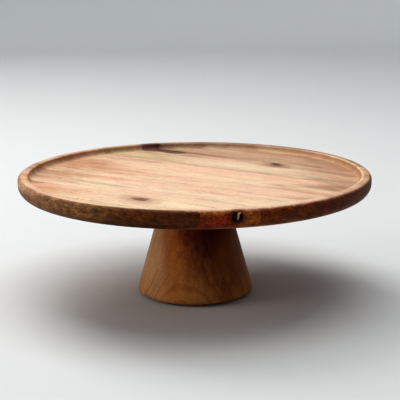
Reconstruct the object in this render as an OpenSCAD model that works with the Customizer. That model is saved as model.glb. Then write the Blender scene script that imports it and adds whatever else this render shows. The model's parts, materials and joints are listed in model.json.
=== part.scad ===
// Turned wooden cake stand: a round plate with a raised lip, glued up from six boards,
// bolted from below to a solid conical pedestal on four rubber feet.
// Millimetres, +Z up. The origin is on the table under the centre, and +X runs along
// the grain of the plate's boards.

/* [Plate] */
// Outside diameter of the plate
plate_d = 320; // [300:5:340]
// Thickness of the plate at its rim
plate_t = 17; // [16:0.5:20]
// Depth of the recess turned into the top
recess_depth = 5.5; // [5.5:0.5:6.5]
// Width of the lip round the recess
lip_w = 9.5; // [8:0.5:14]
// Radius of the cove between the lip and the recess floor
cove_r = 4; // [2:0.5:4]
// Radius of the rounded edge under the plate
under_r = 10; // [5:0.5:11]

/* [Pedestal] */
// Diameter of the pedestal's foot, measured where its sloping side would meet the base
foot_d = 108; // [100:1:120]
// Diameter of the pedestal's neck, where it meets the plate
neck_d = 55; // [46:1:70]
// Height of the turned pedestal
pedestal_h = 95; // [85:1:110]
// Radius of the rounded edge round the foot
foot_edge_r = 3; // [1:0.5:4]
// Diameter of the counterbore that the bolt goes in through
counterbore_d = 22; // [20:1:30]
// Thickness of wood left above the counterbore
web_t = 25; // [20:1:30]

/* [Rubber feet] */
// Diameter of each stick-on foot
pad_d = 10; // [8:0.5:14]
// Height of each stick-on foot
pad_h = 2; // [1.5:0.5:3]
// How far the feet stand in from the widest part of the pedestal
pad_inset = 7; // [7:0.5:20]

/* [Hidden] */
$fn = 96;

// Where the glue lines run, as shares of the plate's radius, with the two outer ends
joint_share = [-1.01, -0.805, -0.587, -0.19, 0.28, 0.62, 1.01];

// Levels and radii that follow from the sizes above
plate_r = plate_d / 2;
plate_z = pad_h + pedestal_h;
floor_z = plate_t - recess_depth;

// Rounding on the outer and inner edges of the lip
lip_outer_r = 4;
lip_inner_r = 1.4;

// Open knot on the rim of the second board
knot_angle = -43;
knot_drop = 6.3;
knot_mouth_r = 4.6;
knot_depth = 3;

// M6 hardware: bolt, washer and self-tapping insert
shank_d = 6;
bolt_hole_d = 6.6;
head_d = 10;
head_h = 6;
socket_af = 5;
socket_depth = 3;
washer_d = 18;
washer_hole_d = 6.4;
washer_t = 1.6;
insert_d = 10;
insert_root_d = 8.6;
insert_bore_d = 6.1;
insert_l = 8;
insert_pitch = 2;
insert_hole_l = 8.5;
fit_gap = 0.02;
thread_reach = 7;
chamfer = 0.6;

// Slice of a disc of radius r about point c, from angle a0 to a1, less than 110 degrees
module sector(c, r, a0, a1) {
    reach = 2 * r;
    translate(c)
        intersection() {
            circle(r);
            polygon([[0, 0], reach * [cos(a0), sin(a0)], reach * [cos(a1), sin(a1)]]);
        }
}

// Half of the plate's section before the recess is turned
module plate_outline() {
    under_c = plate_r - under_r;
    crown_c = plate_r - lip_outer_r;
    square([under_c, plate_t]);
    translate([0, under_r]) square([crown_c, plate_t - under_r]);
    translate([0, under_r]) square([plate_r, plate_t - under_r - lip_outer_r]);
    sector([under_c, under_r], under_r, -90, 0);
    sector([crown_c, plate_t - lip_outer_r], lip_outer_r, 0, 90);
}

// Half of the recess's section: flat floor, cove, short wall and a rounded inner edge
module recess_outline() {
    recess_r = plate_r - lip_w;
    edge_z = plate_t - lip_inner_r;
    translate([0, floor_z]) square([recess_r - cove_r, plate_t]);
    translate([0, floor_z + cove_r]) square([recess_r, plate_t]);
    sector([recess_r - cove_r, floor_z + cove_r], cove_r, -90, 0);
    difference() {
        translate([recess_r - 1, edge_z]) square([lip_inner_r + 1, lip_inner_r + 1]);
        translate([recess_r + lip_inner_r, edge_z]) circle(lip_inner_r);
    }
}

// The whole plate as one turned blank, standing on z = 0
module plate_blank() {
    rotate_extrude($fn = 240)
        difference() {
            plate_outline();
            recess_outline();
        }
}

// Ball that scoops the open knot out of the rim
module knot_scoop() {
    ball_r = (knot_mouth_r ^ 2 + knot_depth ^ 2) / (2 * knot_depth);
    rotate(knot_angle)
        translate([plate_r - knot_depth + ball_r, 0, plate_t - knot_drop]) sphere(ball_r);
}

// One board of the plate, between glue line i - 1 and glue line i
module board(i, tint) {
    low = joint_share[i - 1] * plate_r;
    high = joint_share[i] * plate_r;
    color(tint)
        translate([0, 0, plate_z])
            difference() {
                intersection() {
                    plate_blank();
                    translate([-plate_d, low, -1]) cube([2 * plate_d, high - low, plate_t + 2]);
                }
                if (i == 2) knot_scoop();
                if (i == 4)
                    translate([0, 0, -1]) cylinder(d = insert_d, h = insert_hole_l + 1);
            }
}

// Solid cone with a rounded foot, bored up the middle for the bolt
module pedestal() {
    foot_r = foot_d / 2;
    neck_r = neck_d / 2;
    taper = atan((foot_r - neck_r) / pedestal_h);
    edge = [foot_r - foot_edge_r / tan(45 - taper / 2), foot_edge_r];
    color("peru")
        translate([0, 0, pad_h])
            difference() {
                rotate_extrude($fn = 180) {
                    polygon([
                        [0, 0],
                        [edge.x, 0],
                        edge,
                        edge + foot_edge_r * [cos(taper), sin(taper)],
                        [neck_r, pedestal_h],
                        [0, pedestal_h]
                    ]);
                    sector(edge, foot_edge_r, -90, taper);
                }
                translate([0, 0, -1])
                    cylinder(d = counterbore_d, h = pedestal_h - web_t + 1);
                cylinder(d = bolt_hole_d, h = pedestal_h + 1);
            }
}

// Brass insert screwed into the underside of the plate, with ridges for its coarse thread
module threaded_insert() {
    crest_r = insert_d / 2 - fit_gap;
    root_r = insert_root_d / 2;
    bore_r = insert_bore_d / 2;
    color("goldenrod")
        translate([0, 0, plate_z])
            rotate_extrude()
                polygon(concat(
                    [[bore_r, 0]],
                    [for (k = [0:insert_l / insert_pitch - 1]) each [
                        [root_r, k * insert_pitch],
                        [crest_r, (k + 0.5) * insert_pitch]
                    ]],
                    [[root_r, insert_l], [bore_r, insert_l]]
                ));
}

// Socket-head bolt, head down, whose tip ends in the insert
module clamp_bolt() {
    seat_z = plate_z - web_t - washer_t;
    shank_l = web_t + washer_t + thread_reach;
    color("silver")
        translate([0, 0, seat_z])
            difference() {
                rotate_extrude()
                    polygon([
                        [0, -head_h],
                        [head_d / 2 - chamfer, -head_h],
                        [head_d / 2, chamfer - head_h],
                        [head_d / 2, 0],
                        [shank_d / 2, 0],
                        [shank_d / 2, shank_l - chamfer],
                        [shank_d / 2 - chamfer, shank_l],
                        [0, shank_l]
                    ]);
                translate([0, 0, -head_h - 1])
                    cylinder(d = socket_af / cos(30), h = socket_depth + 1, $fn = 6);
            }
}

// Plain washer between the bolt's head and the wood
module washer() {
    color("gainsboro")
        translate([0, 0, plate_z - web_t - washer_t])
            difference() {
                cylinder(d = washer_d, h = washer_t);
                translate([0, 0, -1]) cylinder(d = washer_hole_d, h = washer_t + 2);
            }
}

// Stick-on rubber foot k of four, with a rounded tread
module rubber_foot(k) {
    pad_r = pad_d / 2;
    tread_r = pad_h * 0.6;
    from_middle = foot_d / 2 - pad_inset - pad_r;
    color("dimgray")
        rotate(45 + 90 * k)
            translate([from_middle, 0, 0])
                rotate_extrude($fn = 48) {
                    square([pad_r - tread_r, pad_h]);
                    translate([0, tread_r]) square([pad_r, pad_h - tread_r]);
                    sector([pad_r - tread_r, tread_r], tread_r, -90, 0);
                }
}

board(1, "sienna");  // board_1
board(2, "chocolate");  // board_2
board(3, "burlywood");  // board_3
board(4, "tan");  // board_4
board(5, "sandybrown");  // board_5
board(6, "peru");  // board_6
pedestal();
threaded_insert();
clamp_bolt();
washer();
rubber_foot(1);  // foot_1
rubber_foot(2);  // foot_2
rubber_foot(3);  // foot_3
rubber_foot(4);  // foot_4
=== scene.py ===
"""Looks of the turned wooden cake stand: six boards cut out of one turned plate, and materials for
the boards, the pedestal, the metal fittings and the rubber feet.

Left, right, near and far are as the camera sees the plate."""
import functools
import json
import math
from types import SimpleNamespace

import bmesh
import bpy
from mathutils import Matrix, Vector, noise


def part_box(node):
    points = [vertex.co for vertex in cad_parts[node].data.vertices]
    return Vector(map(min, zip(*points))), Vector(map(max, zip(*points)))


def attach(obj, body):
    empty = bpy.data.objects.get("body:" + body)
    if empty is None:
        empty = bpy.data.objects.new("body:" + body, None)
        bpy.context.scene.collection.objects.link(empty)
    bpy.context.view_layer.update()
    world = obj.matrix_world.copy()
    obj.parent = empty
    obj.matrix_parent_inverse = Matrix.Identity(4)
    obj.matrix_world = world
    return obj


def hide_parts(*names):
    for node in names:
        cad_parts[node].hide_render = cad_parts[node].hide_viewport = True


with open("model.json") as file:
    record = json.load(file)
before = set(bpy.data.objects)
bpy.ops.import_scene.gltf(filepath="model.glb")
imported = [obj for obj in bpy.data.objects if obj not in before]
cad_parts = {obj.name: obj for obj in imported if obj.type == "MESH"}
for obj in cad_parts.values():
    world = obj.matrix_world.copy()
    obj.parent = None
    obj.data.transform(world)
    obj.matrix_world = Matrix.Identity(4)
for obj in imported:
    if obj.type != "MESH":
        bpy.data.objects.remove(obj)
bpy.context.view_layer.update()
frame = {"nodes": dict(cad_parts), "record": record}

# Sizes and places of the plate in the frame, in millimetres
MM = 0.001
nodes = frame["nodes"]
BOARDS = [f"board_{k}" for k in range(1, 7)]
plate_low, plate_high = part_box("board_4")
PLATE_R = plate_high.x / MM
PLATE_TOP = plate_high.z / MM
PLATE_BOTTOM = plate_low.z / MM
cake_rest = next(m for m in frame["record"]["mounts"] if m["name"] == "cake_rest")
RECESS_FLOOR = cake_rest["pos_m"][2] / MM

# Section of the plate, as the CAD turns it
LIP_W = 9.5
COVE_R = 4.0
UNDER_R = 10.0
LIP_OUTER_R = 4.0
LIP_INNER_R = 1.4
INSERT_HOLE_R = 5.0
INSERT_HOLE_L = 8.5
RECESS_R = PLATE_R - LIP_W

# Open knot in the rim of one board: its mouth's middle and half size, how deep it is, and the
# direction along the rim to its right
RIM_KNOT_BOARD = "board_2"
RIM_KNOT_TURN = math.radians(-43)
RIM_KNOT_DROP = 6.3
RIM_KNOT_HALF = (5.0, 4.5)
RIM_KNOT_DEPTH = 3.0
RIM_KNOT = Vector((
    PLATE_R * math.cos(RIM_KNOT_TURN), PLATE_R * math.sin(RIM_KNOT_TURN), PLATE_TOP - RIM_KNOT_DROP))
RIM_KNOT_SIDE = Vector((-math.sin(RIM_KNOT_TURN), math.cos(RIM_KNOT_TURN), 0))

# Splinter left standing in the open knot: how far right of the middle, and how far right per step up
SPLINTER_SHIFT = 1.0
SPLINTER_LEAN = 0.12

# How far the open knot's black reaches past its mouth
BLACK_MARGIN = 0.2


def srgb(r, g, b):
    """Linear colour from 0-255 display values."""
    out = []
    for v in (r, g, b):
        v /= 255
        out.append(v / 12.92 if v <= 0.04045 else ((v + 0.055) / 1.055) ** 2.4)
    return (*out, 1.0)


class Graph:
    """Short calls for building one material's nodes."""

    def __init__(self, name):
        self.material = bpy.data.materials.new(name)
        self.material.use_nodes = True
        self.tree = self.material.node_tree
        self.tree.nodes.clear()

    def node(self, kind, **settings):
        made = self.tree.nodes.new(kind)
        for key, value in settings.items():
            setattr(made, key, value)
        return made

    def put(self, socket, value):
        """Links the socket to another one, or gives it a constant."""
        if isinstance(value, bpy.types.NodeSocket):
            self.tree.links.new(value, socket)
        else:
            socket.default_value = value

    def math(self, op, *values):
        made = self.node("ShaderNodeMath", operation=op)
        for socket, value in zip(made.inputs, values):
            self.put(socket, value)
        return made.outputs[0]

    def add(self, a, b):
        return self.math("ADD", a, b)

    def sub(self, a, b):
        return self.math("SUBTRACT", a, b)

    def mul(self, *factors):
        """Product of all the factors."""
        return functools.reduce(lambda a, b: self.math("MULTIPLY", a, b), factors)

    def distance(self, value, middle):
        """How far a value is from the middle, either way."""
        return self.math("ABSOLUTE", self.sub(value, middle))

    def vec(self, op, a, b=None, scale=None):
        made = self.node("ShaderNodeVectorMath", operation=op)
        self.put(made.inputs[0], a)
        if b is not None:
            self.put(made.inputs[1], b)
        if scale is not None:
            self.put(made.inputs["Scale"], scale)
        return made.outputs["Value" if op in ("LENGTH", "DOT_PRODUCT") else "Vector"]

    def xyz(self, v):
        made = self.node("ShaderNodeSeparateXYZ")
        self.put(made.inputs[0], v)
        return made.outputs[0], made.outputs[1], made.outputs[2]

    def point(self, x, y, z):
        made = self.node("ShaderNodeCombineXYZ")
        for socket, value in zip(made.inputs, (x, y, z)):
            self.put(socket, value)
        return made.outputs[0]

    def hypot(self, a, b):
        return self.vec("LENGTH", self.point(a, b, 0.0))

    def oval(self, u, v, middle, half):
        """How far (u, v) is from the middle, in half sizes."""
        offsets = [self.mul(self.sub(w, mid), 1 / size) for w, mid, size in zip((u, v), middle, half)]
        return self.hypot(*offsets)

    def mix(self, factor, a, b, blend="MIX"):
        made = self.node("ShaderNodeMix", data_type="RGBA", blend_type=blend)
        self.put(made.inputs["Factor"], factor)
        self.put(made.inputs[6], a)
        self.put(made.inputs[7], b)
        return made.outputs[2]

    def tint(self, factor, tone, by):
        """The tone, darkened towards its product with another colour."""
        return self.mix(factor, tone, self.mix(1.0, tone, by, "MULTIPLY"))

    def lerp(self, factor, a, b):
        made = self.node("ShaderNodeMix", data_type="FLOAT")
        self.put(made.inputs["Factor"], factor)
        self.put(made.inputs[2], a)
        self.put(made.inputs[3], b)
        return made.outputs[0]

    def step(self, value, low, high):
        """0 below low, 1 above high and smooth between; low may be the larger of the two."""
        made = self.node("ShaderNodeMapRange", interpolation_type="SMOOTHSTEP")
        self.put(made.inputs["Value"], value)
        if low < high:
            made.inputs["From Min"].default_value = low
            made.inputs["From Max"].default_value = high
        else:
            made.inputs["From Min"].default_value = high
            made.inputs["From Max"].default_value = low
            made.inputs["To Min"].default_value = 1.0
            made.inputs["To Max"].default_value = 0.0
        return made.outputs["Result"]

    def noise_over(self, dims, socket, value, scale, detail, rough):
        made = self.node("ShaderNodeTexNoise", noise_dimensions=dims)
        self.put(made.inputs[socket], value)
        made.inputs["Scale"].default_value = scale
        made.inputs["Detail"].default_value = detail
        made.inputs["Roughness"].default_value = rough
        return made.outputs["Fac"]

    def noise(self, vector, scale, detail, rough):
        return self.noise_over("3D", "Vector", vector, scale, detail, rough)

    def stretched(self, place, rates, detail, rough):
        """Noise with its own number of steps per millimetre along X, Y and Z."""
        return self.noise(self.vec("MULTIPLY", place, rates), 1.0, detail, rough)

    def bands(self, value, detail, rough):
        """Noise that changes with one value only."""
        return self.noise_over("1D", "W", value, 1.0, detail, rough)

    def swing(self, value, reach):
        """Noise as a shift either way, as far as half the reach."""
        return self.mul(self.sub(value, 0.5), reach)

    def patched(self, tone, u, v, patches, ragged, border):
        """The tone with patches, whose borders are moved by the ragged value."""
        for middle, half, colour, strength in patches:
            off = self.add(self.oval(u, v, middle, half), ragged)
            tone = self.mix(self.mul(self.step(off, *border), strength), tone, colour)
        return tone

    def shaded(self, tone, figure, shading):
        """The tone times the layers of figure, each running between its two factors."""
        shade = self.mul(*[self.lerp(figure[layer], *factors) for layer, factors in shading.items()])
        return self.mix(1.0, tone, self.point(shade, shade, shade), "MULTIPLY")

    def coordinate(self, kind):
        return self.node("ShaderNodeTexCoord").outputs[kind]

    def position(self):
        """Place in the row frame, in millimetres."""
        return self.vec("SCALE", self.coordinate("Object"), scale=1 / MM)

    def finish(self, colour, roughness, height=None, depth=0.0, specular=0.22, metallic=0.0):
        """Ends the material in a shader; the height's relief is so many millimetres deep."""
        shader = self.node("ShaderNodeBsdfPrincipled")
        self.put(shader.inputs["Base Color"], colour)
        self.put(shader.inputs["Roughness"], roughness)
        shader.inputs["Metallic"].default_value = metallic
        shader.inputs["Specular IOR Level"].default_value = specular
        if height is not None:
            bump = self.node("ShaderNodeBump")
            bump.inputs["Distance"].default_value = depth * MM
            bump.inputs["Strength"].default_value = 1.0
            self.put(bump.inputs["Height"], height)
            self.put(shader.inputs["Normal"], bump.outputs[0])
        output = self.node("ShaderNodeOutputMaterial")
        self.put(output.inputs["Surface"], shader.outputs[0])
        return self.material


# Colours of the wood, as they look in even light
IVORY = srgb(222, 201, 171)
CREAM = srgb(215, 190, 163)
PEACH = srgb(213, 179, 153)
HONEY = srgb(206, 170, 126)
TAN = srgb(180, 152, 124)
PINK = srgb(212, 173, 148)
STRAW = srgb(215, 194, 158)
ROSE = srgb(184, 144, 122)
AMBER = srgb(192, 140, 100)
RUSSET = srgb(178, 132, 98)
DUN = srgb(166, 136, 112)
OLIVE = srgb(182, 158, 116)
GREY = srgb(150, 132, 110)
BROWN = srgb(150, 114, 88)
PLUM = srgb(118, 82, 78)
WALNUT = srgb(98, 70, 54)

# Wood of each board, with painted light: its main and second tone, the tones of its edge, dark from oil
# and partly painted shade, at the left and right end, where the tree's heart lies in the board's section
# (y and height over its underside, mm), how wide its rings are, a seed, and its patches: middle (x, y),
# half size along and across the grain (mm), colour and strength. The tones and patches are partly the
# wood's colour and partly painted light: the darker patches at the left and the darker far boards are
# painted shade, and the ivory patches at the right are a painted sheen
BOARD_WOOD_AND_PAINTED_LIGHT = {
    "board_1": dict(
        main=HONEY, second=PEACH, edges=(srgb(140, 112, 68), srgb(112, 70, 20)),
        heart=(-172, -52), ring=5.0, seed=11,
        patches=[((-60, -141), (46, 8), AMBER, 0.6), ((60, -146), (40, 8), CREAM, 0.6)]),
    "board_2": dict(
        main=CREAM, second=PEACH, edges=(srgb(150, 122, 76), srgb(190, 132, 58)),
        heart=(-92, -64), ring=8.0, seed=23,
        patches=[((-92, -112), (50, 14), AMBER, 0.9), ((-118, -98), (36, 9), RUSSET, 0.9),
                 ((64, -104), (50, 14), IVORY, 0.8)]),
    "board_3": dict(
        main=CREAM, second=PEACH, edges=(srgb(152, 122, 78), srgb(148, 87, 22)),
        heart=(-12, -85), ring=6.5, seed=37,
        patches=[((-124, -60), (50, 28), RUSSET, 0.9), ((-142, -70), (26, 22), BROWN, 0.6),
                 ((-66, -71), (38, 4.5), GREY, 0.5), ((-84, -79), (18, 4), OLIVE, 0.6),
                 ((74, -74), (24, 4.5), GREY, 0.4), ((50, -46), (60, 9), PINK, 0.8),
                 ((-70, -48), (30, 6), AMBER, 0.5), ((100, -72), (26, 12), IVORY, 0.6)]),
    "board_4": dict(
        main=PEACH, second=CREAM, edges=(srgb(150, 116, 70), srgb(134, 86, 30)),
        heart=(66, -95), ring=7.5, seed=41,
        patches=[((-90, -14), (56, 18), AMBER, 0.6), ((-134, -8), (44, 34), RUSSET, 0.9),
                 ((-116, 38), (36, 8), BROWN, 0.6), ((-76, 37), (11, 5), BROWN, 0.5),
                 ((86, 11), (18, 5), BROWN, 0.6), ((118, 19), (26, 9), BROWN, 0.6),
                 ((136, -26), (20, 8), BROWN, 0.7), ((132, 33), (20, 10), BROWN, 0.7),
                 ((112, 0), (30, 8), AMBER, 0.35), ((76, 32), (34, 9), PINK, 0.8)]),
    "board_5": dict(
        main=TAN, second=CREAM, edges=(srgb(140, 100, 54), srgb(138, 92, 40)),
        heart=(36, -110), ring=7.0, seed=59,
        patches=[((-4, 62), (70, 14), CREAM, 0.9), ((-112, 64), (30, 12), OLIVE, 0.7),
                 ((22, 82), (16, 6), BROWN, 0.5), ((-50, 88), (46, 11), ROSE, 0.7),
                 ((-90, 82), (34, 6), BROWN, 0.5), ((118, 52), (28, 8), BROWN, 0.5),
                 ((120, 68), (26, 9), AMBER, 0.5), ((96, 82), (34, 12), ROSE, 0.7)]),
    "board_6": dict(
        main=TAN, second=DUN, edges=(srgb(146, 102, 54), srgb(144, 98, 46)),
        heart=(172, -46), ring=6.0, seed=67,
        patches=[((-56, 134), (50, 14), TAN, 0.9), ((92, 114), (30, 18), BROWN, 0.8),
                 ((10, 134), (46, 12), ROSE, 0.9), ((60, 138), (26, 8), DUN, 0.9),
                 ((10, 110), (60, 12), DUN, 0.8)]),
}

# Layers of figure in the boards' wood: noise steps per millimetre along X, Y and Z, detail and
# roughness
BOARD_FIGURE = {
    "cloud": ((0.012, 0.045, 0.045), 3.0, 0.6),
    "streak": ((0.009, 0.12, 0.12), 3.0, 0.6),
    "mottle": ((0.05, 0.22, 0.22), 4.0, 0.7),
    "fleck": ((0.14, 0.55, 0.55), 2.0, 0.6),
    "fibre": ((0.03, 1.1, 1.1), 4.0, 0.65),
    "dash": ((0.22, 2.4, 2.4), 1.0, 0.5),
    "broken": ((0.02, 0.08, 0.08), 2.0, 0.5),
}

# Bands that follow the year rings: noise steps per ring, detail and a multiple of the board's seed
RING_BANDS = {"broad": (0.5, 2.0, 1), "narrow": (2.2, 3.0, 2), "lines": (1.1, 0.0, 3)}
RING_ROUGHNESS = 0.55

# Factors between which each layer shades the boards' wood
BOARD_SHADING = {
    "fibre": (0.82, 1.16), "mottle": (0.80, 1.18), "streak": (0.88, 1.12), "fleck": (0.90, 1.10),
}

# How the noise is moved along each axis per step of a board's seed
SEED_SHIFT = (7.3, 3.1, 5.7)

# Wandering of the grain: noise steps per millimetre, how wide its slow and its quick swing are, and
# how many times quicker the second is, with its own shift
GRAIN_RATES = (0.0045, 0.011, 0.011)
GRAIN_SWING = 30.0
QUICK_SWING = 10.0
QUICKER = 2.6
QUICK_SHIFT = (9.1, 4.7, 2.3)

# How far the rings drift per step along the board
RING_DRIFT = 0.03

# Values of the noise between which pores appear, and how ragged the boards' patches are and where
# their borders fade, in half sizes
PORES = (0.62, 0.76)
PATCH_RAGGED = 2.0
PATCH_BORDER = (1.5, 0.2)

# Depth of the fine relief of fibres and pores
WOOD_RELIEF = 0.08

# Knots: middle (x, y), half size along and across the grain, how far across per step along, and tone
# of the core
KNOTS = {
    "board_2": dict(middle=(16, -102), half=(11.0, 5.8), slant=-0.1, tone=srgb(112, 74, 68)),
    "board_5": dict(middle=(32, 92), half=(9.5, 6.4), slant=-0.4, tone=srgb(84, 62, 46)),
}

# Dark inclusion along the last joint: the boards it lies in, its lumps as patches, and where its line
# runs
STREAK_BOARDS = ("board_5", "board_6")
STREAK_LUMPS = [((-119, 90), (16, 8.5), PLUM, 0.92), ((-94, 92), (18, 8), WALNUT, 0.92)]
STREAK_Y = 97.0

# Directions to the right, to the far left and away from the camera, as factors of X and Y
RIGHTWARD = (0.82, 0.57)
FAR_LEFTWARD = (-0.95, 0.3)
BACKWARD = (-0.7, 1.0)

# How far to the right the painted shade in the cove is darkest
COVE_DARKEST = 80.0

# Regions of the plate: measures of a place, each with the value where the region begins to show and
# the one from which it shows in full. The measures are those that the materials keep of a place
REGIONS = {
    "wall": [("plan_r", RECESS_R - 5.0, RECESS_R - 1.0), ("z", PLATE_TOP - 0.2, PLATE_TOP - 1.8)],
    "cove": [("plan_r", RECESS_R - 16.0, RECESS_R - 8.0), ("plan_r", RECESS_R + 3.0, RECESS_R + 1.0),
             ("z", PLATE_TOP - 1.0, PLATE_TOP - 2.0), ("from_darkest", 44.0, 20.0)],
    "lip": [("plan_r", RECESS_R - 1.0, RECESS_R + 1.0), ("nz", 0.3, 0.8)],
    "inner_edge": [("plan_r", RECESS_R + 3.6, RECESS_R + 1.4), ("mottle", 0.25, 0.6)],
    "facing_up": [("nz", 0.0, 0.6)],
    "facing_down": [("nz", -0.3, -0.8)],
    "facing_out": [("outward", 0.05, 0.2)],
    "far_left": [("far_leftward", 90.0, 135.0)],
    "right": [("rightward", 60.0, 110.0)],
    "right_end": [("rightward", 75.0, 140.0)],
    "far_right": [("rightward", 90.0, 140.0), ("y", -10.0, 50.0)],
    "far": [("backward", 60.0, 150.0)],
    "streak_line": [("from_streak", 3.0, 0.5), ("x", 20.0, -60.0)],
    "streak_haze": [("from_streak", 17.0, 2.0), ("x", 30.0, -60.0)],
    "right_edge": [("x", 0.0, 55.0)],
    "sudden_rim": [("x", 125.0, 60.0)],
    "faint_rim": [("ragged_up", PLATE_TOP - 9.0, PLATE_TOP - 3.0), ("x", -10.0, -110.0)],
    "low_rim_shade": [("ragged_down", PLATE_TOP - 7.0, PLATE_BOTTOM), ("x", -40.0, 110.0)],
    "redder_rim": [("x", 60.0, 90.0), ("z", PLATE_TOP - 2.0, PLATE_TOP - 6.0)],
}

# Painted shade and painted highlight on the recess and the lip, in the order they are laid on: regions,
# strength, colour, and whether the wood is tinted by the colour or mixed with it
RECESS_PAINTED_LIGHT = [
    (("wall", "far_left"), 0.25, srgb(176, 134, 116), Graph.tint),
    (("wall", "right"), 0.7, srgb(186, 148, 116), Graph.mix),
    (("facing_up", "right_end"), 1.0, srgb(234, 225, 220), Graph.tint),
    (("cove",), 0.4, srgb(214, 190, 176), Graph.tint),
    (("lip", "inner_edge", "far_right"), 0.65, srgb(232, 206, 166), Graph.mix),
    (("lip", "far"), 0.5, srgb(200, 172, 150), Graph.tint),
]

# How squarely the surface faces outward where the rim's dark tone, partly oil and partly painted shade,
# begins and where it is full, at the right end and elsewhere
GRADUAL_RIM = (0.3, 0.95)
SUDDEN_RIM = (0.06, 0.46)

# Tints of painted shade low on the rim, of the end grain, which drinks more oil, and of the underside
LOW_RIM_SHADE = srgb(168, 122, 110)
END_GRAIN = srgb(186, 150, 120)
UNDERSIDE = srgb(214, 190, 168)

# Tints of the open knot's surroundings, and colours of the knot
RIM_KNOT_REDDER = srgb(220, 128, 12)
RIM_KNOT_RING = srgb(176, 104, 84)
RIM_KNOT_HOLLOW = srgb(46, 24, 18)
SPLINTER = srgb(206, 190, 158)


def plate_places(g):
    """Measures of a place on the plate: where it lies, how far from the axis and which way, and how its
    surface faces."""
    place = g.position()
    x, y, z = g.xyz(place)
    nx, ny, nz = g.xyz(g.coordinate("Normal"))

    def towards(shares):
        return g.add(g.mul(x, shares[0]), g.mul(y, shares[1]))

    return SimpleNamespace(
        place=place, x=x, y=y, z=z, nx=nx, nz=nz, plan_r=g.hypot(x, y),
        rightward=towards(RIGHTWARD), far_leftward=towards(FAR_LEFTWARD), backward=towards(BACKWARD),
        from_darkest=g.distance(towards(RIGHTWARD), COVE_DARKEST),
        outward=g.math("DIVIDE", g.add(g.mul(x, nx), g.mul(y, ny)), PLATE_R))


def ragged_places(g, at, mottle):
    """Adds the measures that the wood's mottle makes uneven."""
    at.mottle = mottle
    at.uneven = g.swing(mottle, 0.6)
    at.ragged_up = g.add(at.z, g.mul(at.uneven, 4.0))
    at.ragged_down = g.add(at.z, g.swing(mottle, 8.0))


def region(g, at, *names):
    """Mask of the places that lie in all of the named regions."""
    limits = [limit for name in names for limit in REGIONS[name]]
    return g.mul(*[g.step(getattr(at, measure), start, full) for measure, start, full in limits])


def wandering(g, place, shift):
    """How far the grain has wandered sideways."""
    slow = g.vec("ADD", g.vec("MULTIPLY", place, GRAIN_RATES), shift)
    quick = g.vec("ADD", slow, QUICK_SHIFT)
    return g.add(
        g.swing(g.noise(slow, 1.0, 2.0, 0.45), GRAIN_SWING),
        g.swing(g.noise(quick, QUICKER, 2.0, 0.5), QUICK_SWING))


def knot_in_grain(g, at, knot):
    """How far a knot pushes the grain aside, and the masks of its core and of the halo round it."""
    (mid_x, mid_y), (half_x, half_y) = knot["middle"], knot["half"]
    from_x = g.sub(at.x, mid_x)
    from_y = g.sub(at.y, mid_y)
    slanted = g.sub(from_y, g.mul(from_x, knot["slant"]))
    off = g.hypot(g.mul(from_x, 1 / half_x), g.mul(slanted, 1 / half_y))
    nearness = g.math("EXPONENT", g.mul(off, off, -0.20))
    ragged = g.add(off, g.swing(g.noise(at.place, 0.26, 3.0, 0.6), 1.2))
    return g.mul(from_y, nearness, 0.8), g.step(ragged, 1.12, 0.45), g.step(ragged, 2.8, 0.9)


def board_figure(g, at, y_bent, heart, ring, seed, shift):
    """Noise layers of one board's wood, with the bands of its year rings."""
    figure = {}
    grain = g.point(at.x, y_bent, at.z)
    for layer, (rates, detail, rough) in BOARD_FIGURE.items():
        moved = g.vec("ADD", g.vec("MULTIPLY", grain, rates), shift)
        figure[layer] = g.noise(moved, 1.0, detail, rough)
    from_heart = g.hypot(g.sub(y_bent, heart[0]), g.sub(at.z, PLATE_BOTTOM + heart[1]))
    r = g.add(from_heart, g.mul(at.x, RING_DRIFT))
    for band, (rate, detail, multiple) in RING_BANDS.items():
        figure[band] = g.bands(g.add(g.mul(r, rate / ring), seed * multiple), detail, RING_ROUGHNESS)
    return figure


def figured(g, figure, tone):
    """The tone with narrow rings, clouds of pink and straw, thin broken lines and all the shading."""
    tone = g.tint(g.mul(g.step(figure["narrow"], 0.48, 0.78), 0.28), tone, TAN)
    tone = g.mix(g.mul(g.step(figure["cloud"], 0.46, 0.66), 0.5), tone, PINK)
    tone = g.mix(g.mul(g.step(figure["cloud"], 0.50, 0.32), 0.4), tone, STRAW)
    line = g.step(g.distance(figure["lines"], 0.5), 0.035, 0.0)
    tone = g.tint(g.mul(line, g.step(figure["broken"], 0.50, 0.66), 0.3), tone, BROWN)
    return g.shaded(tone, figure, BOARD_SHADING)


def with_streak(g, at, tone):
    """The tone with the dark inclusion: two lumps at the plate's edge, and a line that fades out."""
    tone = g.patched(tone, at.x, at.y, STREAK_LUMPS, g.swing(at.mottle, 0.9), (1.3, 0.7))
    at.from_streak = g.math("ABSOLUTE", g.add(g.sub(at.y, STREAK_Y), g.swing(at.mottle, 6.0)))
    tone = g.tint(g.mul(region(g, at, "streak_line"), 0.7), tone, BROWN)
    return g.tint(g.mul(region(g, at, "streak_haze"), 0.4), tone, TAN)


def with_recess_painted_light(g, at, tone):
    """The tone with painted light on the recess and the lip: painted shade makes the wall darker at the
    far left and browner at the right, and darkens the top at the right end, the cove and the lip's far
    side;
    a painted highlight makes the lip pale along its inner edge at the right."""
    for names, strength, colour, lay in RECESS_PAINTED_LIGHT:
        tone = lay(g, g.mul(region(g, at, *names), strength), tone, colour)
    return tone


def rim_mask(g, at):
    """The plate's outer edge: its border is ragged and begins lower at the right end, and high up at
    the left end it is half as strong, which paints light on the upper rim there."""
    gradual = g.step(g.add(at.outward, at.uneven), *GRADUAL_RIM)
    sudden = g.step(g.add(at.outward, g.mul(at.uneven, 0.4)), *SUDDEN_RIM)
    rim = g.lerp(region(g, at, "sudden_rim"), gradual, sudden)
    return g.mul(rim, g.lerp(region(g, at, "faint_rim"), 1.0, 0.5))


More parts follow.
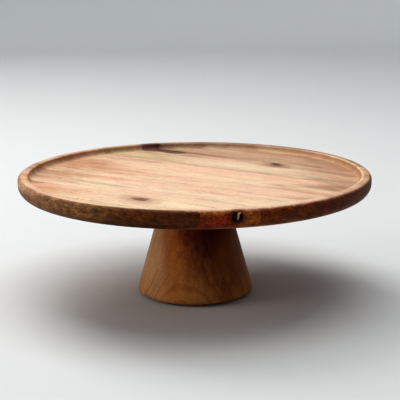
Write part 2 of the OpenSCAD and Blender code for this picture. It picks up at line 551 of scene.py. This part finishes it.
def oiled_and_shaded(g, at, rim, end, edges, tone):
    """The tone, darker on the outer edge, partly from oil and partly as painted shade, with painted
    shade low on the rim, and darker on the end grain, which drinks more oil, and on the underside.
    """
    # The outer edge's tone: partly oil, partly painted shade
    tone = g.tint(rim, tone, g.mix(region(g, at, "right_edge"), *edges))
    # Painted shade on the low part of the rim
    tone = g.tint(g.mul(rim, region(g, at, "low_rim_shade"), 0.6), tone, LOW_RIM_SHADE)
    tone = g.tint(g.mul(end, 0.5), tone, END_GRAIN)
    tone = g.tint(region(g, at, "facing_down"), tone, UNDERSIDE)
    # Where the rim drinks less oil it is paler and less orange
    speck = g.step(g.stretched(at.place, (0.2, 0.6, 0.6), 4.0, 0.7), 0.28, 0.72)
    blotch = g.step(g.stretched(at.place, (0.10, 0.10, 0.16), 3.0, 0.6), 0.34, 0.66)
    soaked = g.lerp(rim, 1.0, g.mul(g.lerp(speck, 0.46, 1.56), g.lerp(blotch, 0.72, 1.30)))
    soaked = g.point(soaked, g.math("POWER", soaked, 1.2), g.math("POWER", soaked, 1.5))
    return g.mix(1.0, tone, soaked, "MULTIPLY")


def with_rim_knot(g, at, rim, tone):
    """The tone with the open knot, black but for a pale splinter; the edge is redder to its left."""
    u = g.vec("DOT_PRODUCT", g.vec("SUBTRACT", at.place, RIM_KNOT), RIM_KNOT_SIDE)
    v = g.sub(at.z, RIM_KNOT.z)
    redder = g.mul(rim, region(g, at, "redder_rim"), g.step(u, 2.0, -3.0))
    tone = g.tint(g.mul(redder, 0.85), tone, RIM_KNOT_REDDER)
    black_half = [half + BLACK_MARGIN for half in RIM_KNOT_HALF]
    ragged = g.swing(g.noise(at.place, 0.5, 3.0, 0.6), 0.7)
    off = g.add(g.oval(u, v, (0.0, 0.0), black_half), ragged)
    here = region(g, at, "facing_out")
    tone = g.tint(g.mul(here, g.step(off, 2.1, 0.9), 0.8), tone, RIM_KNOT_RING)
    tone = g.mix(g.mul(here, g.step(off, 1.04, 0.84)), tone, RIM_KNOT_HOLLOW)
    beside = g.distance(g.sub(u, SPLINTER_SHIFT), g.mul(v, SPLINTER_LEAN))
    half_width = g.add(0.62, g.mul(v, 0.13))
    splinter = g.mul(
        here,
        g.step(g.sub(beside, half_width), 0.3, -0.1),
        g.step(v, -3.6, -2.4),
        g.step(v, 4.2, 3.6))
    return g.mix(g.mul(splinter, 0.9), tone, SPLINTER)


def glued(g, name, y, broken, tone):
    """The tone with a hairline of glue along each of the board's joints."""
    low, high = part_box(name)
    gaps = []
    if name != BOARDS[0]:
        gaps.append(g.sub(y, low.y / MM))
    if name != BOARDS[-1]:
        gaps.append(g.sub(high.y / MM, y))
    gap = functools.reduce(lambda a, b: g.math("MINIMUM", a, b), gaps)
    seen = g.lerp(g.step(broken, 0.45, 0.6), 0.25, 0.9)
    return g.tint(g.mul(g.step(gap, 0.7, 0.1), seen), tone, BROWN)


def wood_height(g, figure, pores):
    """Relief of the wood's surface: raised fibres and sunken pores."""
    return g.sub(g.add(g.mul(figure["fibre"], 0.6), g.mul(figure["mottle"], 0.5)), pores)


def board_material(name, main, second, edges, heart, ring, seed, patches):
    """Solid wood with the grain along X, cut from the log at the given place."""
    g = Graph(name + "_wood")
    at = plate_places(g)
    shift = tuple(seed * step for step in SEED_SHIFT)
    y_bent = g.add(at.y, wandering(g, at.place, shift))
    knot = KNOTS.get(name)
    if knot:
        push, core, halo = knot_in_grain(g, at, knot)
        y_bent = g.sub(y_bent, push)
    figure = board_figure(g, at, y_bent, heart, ring, seed, shift)
    ragged_places(g, at, figure["mottle"])
    tone = g.mix(g.step(figure["broad"], 0.35, 0.68), main, second)
    # Patches of the wood's colour, partly painted shade at the left and a painted sheen at the right
    tone = g.patched(tone, at.x, at.y, patches, g.swing(at.mottle, PATCH_RAGGED), PATCH_BORDER)
    tone = figured(g, figure, tone)
    pores = g.step(figure["dash"], *PORES)
    tone = g.tint(g.mul(pores, 0.8), tone, BROWN)
    if knot:
        tone = g.tint(g.mul(halo, 0.55), tone, TAN)
        tone = g.mix(g.mul(core, 0.88), tone, knot["tone"])
    if name in STREAK_BOARDS:
        tone = with_streak(g, at, tone)
    # Painted shade and painted highlight on the recess and the lip
    tone = with_recess_painted_light(g, at, tone)
    rim = rim_mask(g, at)
    end = g.mul(g.math("POWER", g.math("ABSOLUTE", at.nx), 2.0), g.lerp(at.mottle, 0.7, 1.3))
    tone = oiled_and_shaded(g, at, rim, end, edges, tone)
    if name == RIM_KNOT_BOARD:
        tone = with_rim_knot(g, at, rim, tone)
    tone = glued(g, name, at.y, figure["broken"], tone)
    rough = g.add(g.lerp(figure["fibre"], 0.40, 0.54), g.mul(end, 0.06))
    return g.finish(tone, rough, wood_height(g, figure, pores), WOOD_RELIEF)


# Layers of figure in the pedestal's wood: noise steps per millimetre along X, Y and Z, detail and
# roughness
PEDESTAL_FIGURE = {
    "bend": ((0.016, 0.016, 0.009), 2.0, 0.5),
    "fibre": ((0.9, 0.9, 0.05), 4.0, 0.65),
    "column": ((0.13, 0.13, 0.012), 2.0, 0.5),
    "mottle": ((0.16, 0.16, 0.07), 4.0, 0.65),
    "fleck": ((0.55, 0.55, 0.35), 3.0, 0.65),
    "dash": ((2.2, 2.2, 0.2), 1.0, 0.5),
    "curl": ((0.07, 0.07, 0.5), 2.0, 0.5),
}

# Bands that follow the pedestal's year rings: noise steps per millimetre, detail and roughness
PEDESTAL_BANDS = {"broad": (0.10, 2.0, 0.5), "narrow": (0.85, 2.0, 0.55)}

# How wide a band the pedestal's rings wander in
RING_SWING = 13.0

# Factors between which each layer shades the pedestal's wood
PEDESTAL_SHADING = {
    "fibre": (0.84, 1.16), "column": (0.78, 1.22), "flecks": (0.9, 1.1), "mottle": (0.86, 1.14),
    "curls": (0.96, 1.22),
}

# Where the arches' centre line faces, how far behind the axis the tree's heart lies at the foot, and
# how far back it leans per step up, from which height on, with how soft a bend
ARCHES_TURN = math.radians(-66)
HEART_BACK = 74.0
HEART_LEAN = 0.25
LEAN_FROM = 24.0
LEAN_BEND = 16.0

# Wood of the pedestal: its two main tones, and tints for the narrow rings and the end grain
PEDESTAL_MAIN = srgb(172, 120, 66)
PEDESTAL_SECOND = srgb(152, 96, 46)
PEDESTAL_RINGS = srgb(196, 150, 112)
PEDESTAL_END = srgb(186, 142, 112)

# Patches on the pedestal: middle across the arches' centre line and over the table, half size,
# colour and strength. The dark red ones high up and at the right are partly the wood's heartwood and
# partly painted shade: the plate's shadow at the top and the shaded side away from the light
PEDESTAL_PATCHES_AND_SHADE = [
    ((-38, 44), (22, 50), srgb(175, 138, 100), 0.8),
    ((-14, 62), (9, 40), srgb(156, 92, 36), 0.8),
    ((3, 66), (14, 38), srgb(138, 73, 32), 0.8),
    ((25, 76), (28, 48), srgb(72, 8, 2), 1.0),
    ((40, 38), (16, 30), srgb(120, 68, 20), 0.8),
    ((-12, 94), (38, 18), srgb(98, 39, 16), 0.9),
]


def pedestal_material():
    """One block with the grain upwards; arches show low down, where its side flares into the rings."""
    g = Graph("pedestal_wood")
    place = g.position()
    x, y, z = g.xyz(place)
    figure = {
        layer: g.stretched(place, rates, detail, rough)
        for layer, (rates, detail, rough) in PEDESTAL_FIGURE.items()}
    along = g.add(g.mul(x, math.cos(ARCHES_TURN)), g.mul(y, math.sin(ARCHES_TURN)))
    across = g.sub(g.mul(y, math.cos(ARCHES_TURN)), g.mul(x, math.sin(ARCHES_TURN)))
    lean = g.mul(g.math("SMOOTH_MAX", g.sub(z, LEAN_FROM), 0.0, LEAN_BEND), HEART_LEAN)
    r = g.hypot(g.add(g.add(along, HEART_BACK), lean), across)
    r = g.add(r, g.swing(figure["bend"], RING_SWING))
    for band, (rate, detail, rough) in PEDESTAL_BANDS.items():
        figure[band] = g.bands(g.mul(r, rate), detail, rough)
    tone = g.mix(g.step(figure["broad"], 0.35, 0.65), PEDESTAL_MAIN, PEDESTAL_SECOND)
    # Patches of the wood's colour, partly painted shadow of the plate high up and painted shade at the
    # right
    tone = g.patched(tone, across, z, PEDESTAL_PATCHES_AND_SHADE, g.sub(figure["mottle"], 0.5), (1.5, 0.3))
    ring_strength = g.lerp(g.step(z, 16.0, 36.0), 0.42, 0.06)
    tone = g.tint(g.mul(g.step(figure["narrow"], 0.42, 0.66), ring_strength), tone, PEDESTAL_RINGS)
    curly = g.mul(g.step(g.math("ABSOLUTE", g.add(across, 4.0)), 14.0, 4.0), g.step(z, 30.0, 45.0))
    figure["flecks"] = g.step(figure["fleck"], 0.3, 0.7)
    figure["curls"] = g.mul(g.step(figure["curl"], 0.35, 0.65), curly)
    tone = g.shaded(tone, figure, PEDESTAL_SHADING)
    pores = g.step(figure["dash"], *PORES)
    tone = g.tint(g.mul(pores, 0.5), tone, BROWN)
    _, _, nz = g.xyz(g.coordinate("Normal"))
    end = g.step(g.math("ABSOLUTE", nz), 0.5, 0.95)
    tone = g.tint(g.mul(end, 0.6), tone, PEDESTAL_END)
    rough = g.lerp(figure["fibre"], 0.46, 0.60)
    return g.finish(tone, rough, wood_height(g, figure, pores), WOOD_RELIEF, specular=0.12)


# Colours of the clean metals, and of the rubber and the dust on it
STEEL = srgb(190, 194, 198)
BRASS = srgb(214, 176, 96)
RUBBER = srgb(34, 33, 32)
DUST = srgb(84, 78, 70)

# Brightness of worn metal as a share of clean metal's
WORN_METAL = 0.72


def metal_material(name, colour, roughness):
    """Turned metal, bright where it is clean and duller where it is worn."""
    g = Graph(name)
    place = g.position()
    wear = g.noise(place, 0.35, 4.0, 0.6)
    turned = g.stretched(place, (0.6, 0.6, 5.0), 3.0, 0.6)
    dull = tuple(c * WORN_METAL for c in colour[:3]) + (1.0,)
    tone = g.mix(g.step(wear, 0.35, 0.7), colour, dull)
    rough = g.add(roughness, g.swing(wear, 0.25))
    return g.finish(tone, rough, turned, 0.02, metallic=1.0)


def rubber_material():
    """Dark rubber with a fine grain and some dust."""
    g = Graph("foot_rubber")
    place = g.position()
    grain = g.noise(place, 2.2, 3.0, 0.6)
    dust = g.noise(place, 0.25, 4.0, 0.65)
    tone = g.mix(g.mul(g.step(dust, 0.45, 0.75), 0.5), RUBBER, DUST)
    return g.finish(tone, g.lerp(grain, 0.62, 0.8), grain, 0.08)


def dress(node, material):
    """Puts the material on every slot of a CAD node."""
    obj = nodes[node]
    if not obj.material_slots:
        obj.data.materials.append(material)
    for slot in obj.material_slots:
        slot.material = material


# Mesh density: sides of every ring, a multiple of 4, and steps of the section's arcs and straights
SIDES = 480
UNDER_STEPS = 14
OUTER_STEPS = 9
INNER_STEPS = 6
COVE_STEPS = 8
UNDERSIDE_STEP = 16.0
RIM_STEP = 1.0
LIP_STEP = 1.4
WALL_STEP = 2.0

# Where the rings' first point lies, so that the grid's corners meet them
FIRST_TURN = math.radians(-45)


def arc(centre, radius, start, end, steps):
    """Points of an arc of the section after its first, angles in degrees."""
    turns = [math.radians(start + (end - start) * k / steps) for k in range(1, steps + 1)]
    return [(centre[0] + radius * math.cos(t), centre[1] + radius * math.sin(t)) for t in turns]


def straight(start, end, step):
    """Evenly spaced points from start, left out, to end."""
    count = max(1, math.ceil(math.dist(start, end) / step))
    return [tuple(a + (b - a) * k / count for a, b in zip(start, end)) for k in range(1, count + 1)]


def plate_section():
    """Half section from the roof of the insert's hole, round the rim, to the recess floor's edge."""
    under_r = PLATE_R - UNDER_R
    crown_r = PLATE_R - LIP_OUTER_R
    inner_r = RECESS_R + LIP_INNER_R
    line = [(INSERT_HOLE_R, PLATE_BOTTOM + INSERT_HOLE_L), (INSERT_HOLE_R, PLATE_BOTTOM)]
    line += straight(line[-1], (under_r, PLATE_BOTTOM), UNDERSIDE_STEP)
    line += arc((under_r, PLATE_BOTTOM + UNDER_R), UNDER_R, -90, 0, UNDER_STEPS)
    line += straight(line[-1], (PLATE_R, PLATE_TOP - LIP_OUTER_R), RIM_STEP)
    line += arc((crown_r, PLATE_TOP - LIP_OUTER_R), LIP_OUTER_R, 0, 90, OUTER_STEPS)
    line += straight(line[-1], (inner_r, PLATE_TOP), LIP_STEP)
    line += arc((inner_r, PLATE_TOP - LIP_INNER_R), LIP_INNER_R, 90, 180, INNER_STEPS)
    line += straight(line[-1], (RECESS_R, RECESS_FLOOR + COVE_R), WALL_STEP)
    line += arc((RECESS_R - COVE_R, RECESS_FLOOR + COVE_R), COVE_R, 0, -90, COVE_STEPS)
    return line


def disc_place(a, b):
    """Radius and turn in a disc of radius 1 of a place in a square that reaches from -1 to 1."""
    if abs(a) > abs(b):
        return a, math.pi / 4 * b / a
    return b, math.pi / 2 - (math.pi / 4 * a / b if b else math.pi / 4)


def floor_grid(points, first, edge_r, floor_z):
    """Faces of a square grid pressed into a disc; its outer cells meet the ring that starts at first."""
    cells = SIDES // 4
    index = {}
    for i in range(cells + 1):
        for j in range(cells + 1):
            if i == cells:
                index[i, j] = first + j
            elif j == cells:
                index[i, j] = first + 2 * cells - i
            elif i == 0:
                index[i, j] = first + 3 * cells - j
            elif j == 0:
                index[i, j] = first + 3 * cells + i
            else:
                r, turn = disc_place(2 * i / cells - 1, 2 * j / cells - 1)
                index[i, j] = len(points)
                points.append((edge_r * r * math.cos(turn), edge_r * r * math.sin(turn), floor_z))
    return [
        (index[i, j], index[i + 1, j], index[i + 1, j + 1], index[i, j + 1])
        for i in range(cells) for j in range(cells)]


def turned_plate():
    """The whole plate as one closed mesh: rings for the rim, and an even grid over the recess floor."""
    section = plate_section()
    points = []
    for r, z in section:
        for k in range(SIDES):
            turn = FIRST_TURN + 2 * math.pi * k / SIDES
            points.append((r * math.cos(turn), r * math.sin(turn), z))
    # The first face is the roof of the insert's hole
    faces = [tuple(range(SIDES))]
    for ring in range(len(section) - 1):
        for k in range(SIDES):
            a = ring * SIDES + k
            b = ring * SIDES + (k + 1) % SIDES
            faces.append((a, b, b + SIDES, a + SIDES))
    faces += floor_grid(points, (len(section) - 1) * SIDES, *section[-1])
    mesh = bpy.data.meshes.new("plate_blank")
    mesh.from_pydata([tuple(v * MM for v in p) for p in points], [], faces)
    work = bmesh.new()
    work.from_mesh(mesh)
    bpy.data.meshes.remove(mesh)
    bmesh.ops.recalc_face_normals(work, faces=work.faces)
    return work


def refine(work, centre, reach, cuts):
    """Cuts the faces near a point into smaller ones."""
    near = [f for f in work.faces if (f.calc_center_median() / MM - centre).length < reach]
    edges = list({e for f in near for e in f.edges})
    bmesh.ops.subdivide_edges(work, edges=edges, cuts=cuts, use_grid_fill=True)


def smooth_step(low, high, value):
    t = min(1.0, max(0.0, (value - low) / (high - low)))
    return t * t * (3 - 2 * t)


# Distance within which the open knot and a sunken knot get finer faces
RIM_KNOT_REACH = 10
KNOT_REACH = 15

# Marks of sanding: noise steps per millimetre, and depth of the slow and of the quick marks
SANDING_RATES = (0.016, 0.045, 0.045)
SLOW_MARKS = 0.07
QUICK_MARKS = 0.03

# How deep a knot in the recess floor is sunk
KNOT_SINK = 0.34

# Slack in telling which level or radius a vertex lies on
NEAR_LEVEL = 0.5
NEAR_RADIUS = 0.1

# How far the boards' top edges are eased along the glue lines, and from which angle an edge is sharp
JOINT_EASE = 0.12
SHARP_ANGLE = math.radians(40)


def rim_knot_depth(p):
    """How far the open knot in the rim goes in at a point, with a splinter left standing in it."""
    if (p - RIM_KNOT).length > RIM_KNOT_REACH:
        return 0.0
    u, v = (p - RIM_KNOT).dot(RIM_KNOT_SIDE), p.z - RIM_KNOT.z
    ragged = noise.noise(Vector((u * 0.55, v * 0.55, 3.7))) * 0.22 + noise.noise(p * 1.7) * 0.08
    off = math.hypot(u / RIM_KNOT_HALF[0], v / RIM_KNOT_HALF[1]) + ragged
    depth = RIM_KNOT_DEPTH * (1 - smooth_step(0.55, 1.02, off))
    beside = abs(u - SPLINTER_SHIFT - SPLINTER_LEAN * v)
    splinter = (1 - smooth_step(0.3, 0.95 + 0.1 * v, beside)) * smooth_step(-3.4, -0.6, v)
    dished = 0.15 * (1 - smooth_step(0.9, 1.8, off))
    return depth * (1 - 0.85 * splinter) + dished


def sunken_knot_depth(p, knot):
    """How far the floor is sunk round a knot, in fading ripples."""
    (mid_x, mid_y), (half_x, half_y) = knot["middle"], knot["half"]
    from_x, from_y = p.x - mid_x, p.y - mid_y
    off = math.hypot(from_x / half_x, (from_y - knot["slant"] * from_x) / half_y)
    if off >= 2.5 or p.z <= RECESS_FLOOR - NEAR_LEVEL:
        return 0.0
    ripple = 0.5 + 0.5 * math.cos(off * 9.0)
    return KNOT_SINK * math.exp(-2.2 * off * off) * (0.75 + 0.25 * ripple)


def weather(work):
    """Presses the marks of sanding, the sunken knots and the open knot into the surface."""
    work.normal_update()
    for vert in work.verts:
        p = vert.co / MM
        underside = p.z < PLATE_BOTTOM + NEAR_LEVEL
        on_axis = math.hypot(p.x, p.y) < INSERT_HOLE_R + NEAR_RADIUS
        if underside or (on_axis and p.z < RECESS_FLOOR - NEAR_LEVEL):
            continue
        slow = Vector(value * rate for value, rate in zip(p, SANDING_RATES))
        deep = SLOW_MARKS * (0.6 + noise.noise(slow)) + QUICK_MARKS * (0.6 + noise.noise(slow * 3.1))
        for knot in KNOTS.values():
            deep += sunken_knot_depth(p, knot)
        deep += rim_knot_depth(p)
        vert.co -= vert.normal * max(0.0, deep) * MM


def cut_board(blank, name):
    """The part of the plate between a board's glue lines, closed and with its top edges eased."""
    low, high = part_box(name)
    work = blank.copy()
    for y, outward, cut in ((low.y, -1, name != BOARDS[0]), (high.y, 1, name != BOARDS[-1])):
        if not cut:
            continue
        geom = [*work.verts, *work.edges, *work.faces]
        made = bmesh.ops.bisect_plane(
            work, geom=geom, dist=1e-7, plane_co=(0, y, 0), plane_no=(0, outward, 0), clear_outer=True)
        rim = [e for e in made["geom_cut"] if isinstance(e, bmesh.types.BMEdge)]
        for vert in {v for e in rim for v in e.verts}:
            if vert.co.z > (RECESS_FLOOR - NEAR_LEVEL) * MM:
                vert.co.z -= JOINT_EASE * MM
        bmesh.ops.triangle_fill(work, edges=rim, use_beauty=True)
    bmesh.ops.recalc_face_normals(work, faces=work.faces)
    return work


def make_boards():
    """Cuts the turned plate along its glue lines into boards that stand for the CAD's."""
    blank = turned_plate()
    for knot in KNOTS.values():
        refine(blank, Vector((*knot["middle"], RECESS_FLOOR)), KNOT_REACH, cuts=2)
    refine(blank, RIM_KNOT, RIM_KNOT_REACH, cuts=3)
    weather(blank)
    for name in BOARDS:
        work = cut_board(blank, name)
        mesh = bpy.data.meshes.new("plank_" + name[-1])
        work.to_mesh(mesh)
        work.free()
        mesh.shade_smooth()
        mesh.set_sharp_from_angle(angle=SHARP_ANGLE)
        plank = bpy.data.objects.new("plank_" + name[-1], mesh)
        mesh.materials.append(board_material(name, **BOARD_WOOD_AND_PAINTED_LIGHT[name]))
        bpy.context.collection.objects.link(plank)
        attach(plank, "root")
        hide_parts(name)
    blank.free()


make_boards()
dress("pedestal", pedestal_material())
steel = metal_material("zinc_steel", STEEL, 0.34)
dress("clamp_bolt", steel)
dress("washer", steel)
dress("threaded_insert", metal_material("insert_brass", BRASS, 0.3))
rubber = rubber_material()
for k in range(1, 5):
    dress(f"foot_{k}", rubber)


# Studio, in metres: a round floor that curves up into a low wall all the way round
FLOOR_RINGS = (0.15, 0.3, 0.6, 1.2, 2.6)
FLOOR_R = FLOOR_RINGS[-1]
CURVE_R = 0.9
CURVE_STEPS = 24
WALL_TOP = 1.7
STUDIO_SIDES = 128
PAINT_NEAR = srgb(198, 199, 199)
PAINT_FAR = srgb(226, 228, 229)


def studio_material():
    """Matt paint, a little paler towards the wall, where the lamps reach less."""
    g = Graph("studio_paint")
    x, y, _ = g.xyz(g.coordinate("Object"))
    far = g.step(g.hypot(x, y), 1.2, 3.3)
    return g.finish(g.mix(far, PAINT_NEAR, PAINT_FAR), 0.9)


def make_studio():
    profile = [(r, 0.0) for r in FLOOR_RINGS]
    for k in range(1, CURVE_STEPS + 1):
        turn = math.pi / 2 * k / CURVE_STEPS
        profile.append((FLOOR_R + CURVE_R * math.sin(turn), CURVE_R * (1 - math.cos(turn))))
    profile.append((FLOOR_R + CURVE_R, WALL_TOP))
    points = [(0.0, 0.0, 0.0)]
    for r, z in profile:
        for k in range(STUDIO_SIDES):
            a = 2 * math.pi * k / STUDIO_SIDES
            points.append((r * math.cos(a), r * math.sin(a), z))
    faces = [(0, 1 + k, 1 + (k + 1) % STUDIO_SIDES) for k in range(STUDIO_SIDES)]
    for ring in range(len(profile) - 1):
        for k in range(STUDIO_SIDES):
            a = 1 + ring * STUDIO_SIDES + k
            b = 1 + ring * STUDIO_SIDES + (k + 1) % STUDIO_SIDES
            faces.append((a, a + STUDIO_SIDES, b + STUDIO_SIDES, b))
    mesh = bpy.data.meshes.new("studio")
    mesh.from_pydata(points, [], faces)
    mesh.shade_smooth()
    studio = bpy.data.objects.new("studio", mesh)
    studio.data.materials.append(studio_material())
    bpy.context.collection.objects.link(studio)


def direction(azimuth, elevation):
    """Unit vector from the part towards where it is seen or lit from, angles in degrees."""
    a = math.radians(azimuth)
    e = math.radians(elevation)
    return Vector((math.sin(a) * math.cos(e), -math.cos(a) * math.cos(e), math.sin(e)))


# Height of the point that the lamps are aimed at
LAMP_AIM = 0.09


def area_light(name, azimuth, elevation, distance, size, power, colour):
    """A soft square lamp aimed at the part."""
    away = direction(azimuth, elevation)
    data = bpy.data.lights.new(name, "AREA")
    data.shape = "SQUARE"
    data.size = size
    data.energy = power
    data.color = colour
    lamp = bpy.data.objects.new(name, data)
    lamp.location = Vector((0, 0, LAMP_AIM)) + away * distance
    lamp.rotation_euler = away.to_track_quat("Z", "Y").to_euler()
    lamp.visible_camera = False
    bpy.context.collection.objects.link(lamp)


# Camera: 35 degrees round from the grain, a little above the plate; distance in metres, and the last
# three are small turns in radians
VIEW_AZIMUTH = 35.0
VIEW_ELEVATION = 11.16
VIEW_DISTANCE = 6.28 * PLATE_R * MM
LENS = 99.0
AIM_DOWN = 0.0266
AIM_ASIDE = 0.0048
ROLL = -0.0041


def make_camera():
    data = bpy.data.cameras.new("camera")
    data.lens = LENS
    data.sensor_width = 36.0
    data.clip_end = 50.0
    camera = bpy.data.objects.new("camera", data)
    back = direction(VIEW_AZIMUTH, VIEW_ELEVATION)
    camera.location = Vector((0, 0, PLATE_TOP * MM)) + back * VIEW_DISTANCE
    turn = math.radians(VIEW_AZIMUTH) - AIM_ASIDE
    down = math.radians(VIEW_ELEVATION) + AIM_DOWN
    face = Matrix.Rotation(turn, 4, "Z") @ Matrix.Rotation(math.pi / 2 - down, 4, "X")
    camera.rotation_euler = (face @ Matrix.Rotation(ROLL, 4, "Z")).to_euler()
    bpy.context.collection.objects.link(camera)
    bpy.context.scene.camera = camera


def make_world():
    """Even, slightly cool light from all round."""
    world = bpy.data.worlds.new("world")
    world.use_nodes = True
    background = world.node_tree.nodes["Background"]
    background.inputs[0].default_value = srgb(232, 236, 240)
    background.inputs[1].default_value = 0.32
    bpy.context.scene.world = world


make_studio()
area_light("sky", 0, 90, distance=2.0, size=1.8, power=22, colour=(1.0, 1.0, 1.0))
area_light("key", VIEW_AZIMUTH - 140, 50, distance=2.2, size=1.2, power=20, colour=(1.0, 0.985, 0.96))
area_light("side", VIEW_AZIMUTH - 80, 14, distance=2.0, size=1.1, power=13.5, colour=(1.0, 0.99, 0.97))
make_world()
bpy.context.scene.view_settings.view_transform = "Standard"
bpy.context.scene.view_settings.look = "High Contrast"
make_camera()
